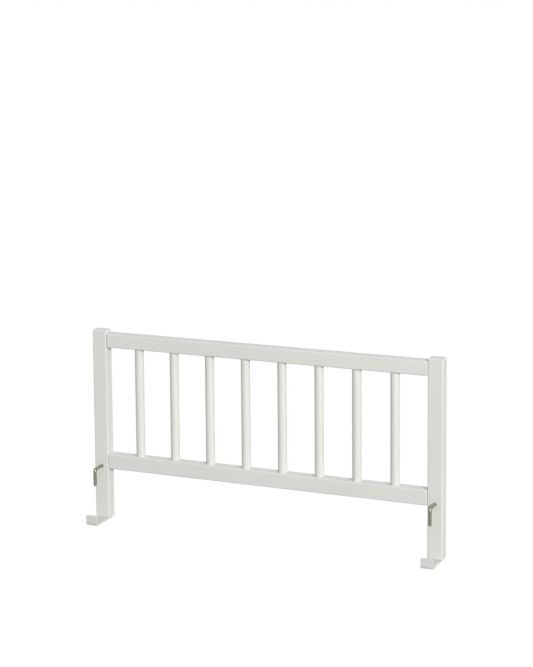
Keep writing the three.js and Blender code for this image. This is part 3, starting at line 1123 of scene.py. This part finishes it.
def make_floor():
    """A wide plain grey floor, which the camera sees as white with a faint shade at the feet."""
    stage = bpy.context.scene.guard_stage
    bm = bmesh.new()
    bmesh.ops.create_circle(bm, cap_ends=True, segments=96, radius=40.0,
                            matrix=Matrix.Translation(UP * -FLOOR_GAP))
    floor = mesh_object("studio_floor", bm)
    material, tree, shader, here = new_material("floor_paper")
    fine = noise(tree, here, 3.0, detail=2.0, roughness=0.5)
    tone = blended(tree, fine, tint(stage.floor_colour, 0.99), tint(stage.floor_colour, 1.0))
    tree.links.new(tone, shader.inputs["Base Color"])
    shader.inputs["Roughness"].default_value = 0.9
    shader.inputs["Specular IOR Level"].default_value = 0.1
    openness = place(tree, "ShaderNodeAmbientOcclusion", {"Distance": 0.05}, samples=8).outputs["AO"]
    shade = place(tree, "ShaderNodeMapRange", {
        "Value": openness, "To Min": 1.0 - stage.contact_shade, "To Max": 1.0}).outputs[0]
    white = place(tree, "ShaderNodeEmission", {"Strength": shade})
    surface = next(n for n in tree.nodes if n.type == "OUTPUT_MATERIAL").inputs["Surface"]
    tree.links.new(by_viewer(tree, shader, white), surface)
    floor.data.materials.append(material)


def make_room_light():
    """Light from all sides, more from the right, above and behind, which the camera sees as white."""
    stage = bpy.context.scene.guard_stage
    world = bpy.data.worlds.new("studio_room")
    world.use_nodes = True
    tree = world.node_tree
    tree.nodes.clear()
    way = tree.nodes.new("ShaderNodeTexCoord").outputs["Generated"]
    parts = place(tree, "ShaderNodeSeparateXYZ", {"Vector": way}).outputs
    strength = stage.room_light
    for axis, gain in (("X", stage.room_right), ("Z", stage.room_top), ("Y", stage.room_back)):
        towards = reckon(tree, "MAXIMUM", parts[axis], 0.0)
        strength = reckon(tree, "ADD", times(tree, towards, gain), strength)
    even = place(tree, "ShaderNodeBackground", {"Color": WHITE, "Strength": strength})
    backdrop = place(tree, "ShaderNodeBackground", {"Color": WHITE, "Strength": 1.0})
    place(tree, "ShaderNodeOutputWorld", {"Surface": by_viewer(tree, even, backdrop)})
    bpy.context.scene.world = world


def make_camera():
    """The camera of the photo, with its picture centre moved as the photo's is."""
    stage = bpy.context.scene.guard_stage
    turn, pitch, roll = stage.camera_azimuth, stage.camera_pitch, stage.camera_roll
    forward = Vector((-math.sin(turn) * math.cos(pitch), math.cos(turn) * math.cos(pitch),
                      -math.sin(pitch)))
    level = Vector((math.cos(turn), math.sin(turn), 0))
    upright = level.cross(forward)
    right = level * math.cos(roll) + upright * math.sin(roll)
    up = upright * math.cos(roll) - level * math.sin(roll)
    data = bpy.data.cameras.new("photo_camera")
    data.sensor_width = 36.0
    data.lens = stage.focal_pixels * data.sensor_width / PHOTO_HEIGHT
    data.shift_x = (PHOTO_WIDTH / 2 - stage.centre_pixels[0]) / PHOTO_HEIGHT
    data.shift_y = (stage.centre_pixels[1] - PHOTO_HEIGHT / 2) / PHOTO_HEIGHT
    data.clip_start, data.clip_end = 0.1, 200.0
    camera = bpy.data.objects.new("photo_camera", data)
    turned_axes = Matrix((right, up, -forward)).transposed().to_4x4()
    camera.matrix_world = Matrix.Translation(stage.camera_place) @ turned_axes
    bpy.context.scene.collection.objects.link(camera)
    bpy.context.scene.camera = camera


# Operators

class GUARD_OT_posts(Operator):
    """Build the two painted posts"""

    bl_idname = "guard.posts"
    bl_label = "Posts"

    def execute(self, context):
        for side in SIDES:
            make_post(side)
        return {"FINISHED"}


class GUARD_OT_rails(Operator):
    """Build the two painted rails"""

    bl_idname = "guard.rails"
    bl_label = "Rails"

    def execute(self, context):
        for word in RAILS:
            make_rail(word)
        return {"FINISHED"}


class GUARD_OT_spindles(Operator):
    """Build the round spindles and the paint beads at their ends"""

    bl_idname = "guard.spindles"
    bl_label = "Spindles"

    def execute(self, context):
        wood = context.scene.guard_wood
        material = material_of("painted_upright")
        low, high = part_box(SPINDLES[0])
        diameter = high.x - low.x
        feet = [middle_of(name, z=low.z) for name in SPINDLES]
        spindles = on_points("spindles_painted", spindle_tree, feet, {
            "Diameter": diameter, "Length": high.z - low.z, "Ease": wood.spindle_ease,
            "Sides": wood.spindle_sides}, material)
        dress(spindles, material, "frame", SPINDLES)
        levels = (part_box("lower_rail")[1].z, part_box("upper_rail")[0].z)
        spots = [Vector((foot.x, foot.y, level)) for foot in feet for level in levels]
        beads = on_points("spindle_paint_beads", bead_tree, spots, {
            "Diameter": diameter, "Bead": wood.bead, "Sides": wood.spindle_sides}, material)
        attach(beads, "frame")
        return {"FINISHED"}


class GUARD_OT_dowels(Operator):
    """Build the fluted dowels in the joints of rails and posts"""

    bl_idname = "guard.dowels"
    bl_label = "Dowels"

    def execute(self, context):
        material = material_of("bare_beech")
        low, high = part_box(DOWELS[0])
        spots = [middle_of(name) for name in DOWELS]
        dowels = on_points("dowels_fluted", dowel_tree, spots, {
            "Diameter": high.z - low.z, "Length": high.x - low.x,
            "Flute Share": context.scene.guard_wood.flute_share}, material)
        dress(dowels, material, "frame", DOWELS)
        return {"FINISHED"}


class GUARD_OT_hooks(Operator):
    """Build the two turning hooks"""

    bl_idname = "guard.hooks"
    bl_label = "Hooks"

    def execute(self, context):
        for side in SIDES:
            make_hook(side)
        return {"FINISHED"}


class GUARD_OT_inserts(Operator):
    """Build the slotted threaded inserts that the hooks turn in"""

    bl_idname = "guard.inserts"
    bl_label = "Inserts"

    def execute(self, context):
        material = material_of("zinc_plate")
        low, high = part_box(INSERTS[0])
        faces = [middle_of(name, y=high.y) for name in INSERTS]
        inserts = on_points("hook_inserts_zinc", insert_tree, faces, {
            "Diameter": high.x - low.x, "Length": high.y - low.y,
            "Bore": 2 * half_width_of("left_hook") + BORE_PLAY}, material)
        dress(inserts, material, "frame", INSERTS)
        return {"FINISHED"}


class GUARD_OT_brackets(Operator):
    """Build the two bent and coated brackets"""

    bl_idname = "guard.brackets"
    bl_label = "Brackets"

    def execute(self, context):
        for side in SIDES:
            make_bracket(side)
        return {"FINISHED"}


class GUARD_OT_screws(Operator):
    """Build the countersunk screws that hold the brackets"""

    bl_idname = "guard.screws"
    bl_label = "Screws"

    def execute(self, context):
        steel = context.scene.guard_steel
        material = material_of("zinc_plate")
        low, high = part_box(SCREWS[0])
        heads = [middle_of(name, z=low.z) for name in SCREWS]
        screws = on_points("bracket_screws_zinc", screw_tree, heads, {
            "Head Diameter": high.x - low.x, "Length": high.z - low.z,
            "Head Rim": steel.head_rim, "Head Height": steel.head_height,
            "Diameter": steel.screw_diameter}, material)
        dress(screws, material, "frame", SCREWS)
        return {"FINISHED"}


class GUARD_OT_stage(Operator):
    """Set up the camera, the plain floor, the room's light and the two lamps"""

    bl_idname = "guard.stage"
    bl_label = "Stage"

    def execute(self, context):
        stage = context.scene.guard_stage
        context.scene.view_settings.view_transform = "Standard"
        make_camera()
        make_floor()
        make_room_light()
        square_lamp("key_light", stage.key_azimuth, stage.key_elevation, stage.key_width,
                    stage.key_power)
        rear = square_lamp("rear_light", stage.rear_azimuth, stage.rear_elevation,
                           stage.rear_width, stage.rear_power)
        rear.visible_glossy = False
        return {"FINISHED"}


class GUARD_PT_pieces(Panel):
    """Lists the pieces of the guard and the stage"""

    bl_idname = "GUARD_PT_pieces"
    bl_label = "Bed Guard Rail"
    bl_space_type = "VIEW_3D"
    bl_region_type = "UI"
    bl_category = "Bed Guard"

    def draw(self, context):
        column = self.layout.column()
        for operator in OPERATORS:
            column.operator(operator.bl_idname)
        for settings in SETTINGS:
            group = getattr(context.scene, settings)
            box = self.layout.box()
            for name in group.__annotations__:
                box.prop(group, name)


SETTINGS = {
    "guard_wood": GuardWoodSettings,
    "guard_steel": GuardSteelSettings,
    "guard_stage": GuardStageSettings,
}
OPERATORS = (
    GUARD_OT_posts, GUARD_OT_rails, GUARD_OT_spindles, GUARD_OT_dowels, GUARD_OT_hooks,
    GUARD_OT_inserts, GUARD_OT_brackets, GUARD_OT_screws, GUARD_OT_stage,
)


def register():
    """Registers the settings, the operators and the panel."""
    for name, settings in SETTINGS.items():
        bpy.utils.register_class(settings)
        setattr(bpy.types.Scene, name, PointerProperty(type=settings))
    for made in (*OPERATORS, GUARD_PT_pieces):
        bpy.utils.register_class(made)


def unregister():
    """Takes the panel, the operators and the settings away again."""
    for made in reversed((*OPERATORS, GUARD_PT_pieces)):
        bpy.utils.unregister_class(made)
    for name, settings in SETTINGS.items():
        delattr(bpy.types.Scene, name)
        bpy.utils.unregister_class(settings)


def main():
    register()
    for operator in OPERATORS:
        group, name = operator.bl_idname.split(".")
        getattr(getattr(bpy.ops, group), name)()


if __name__ == "__main__":
    main()
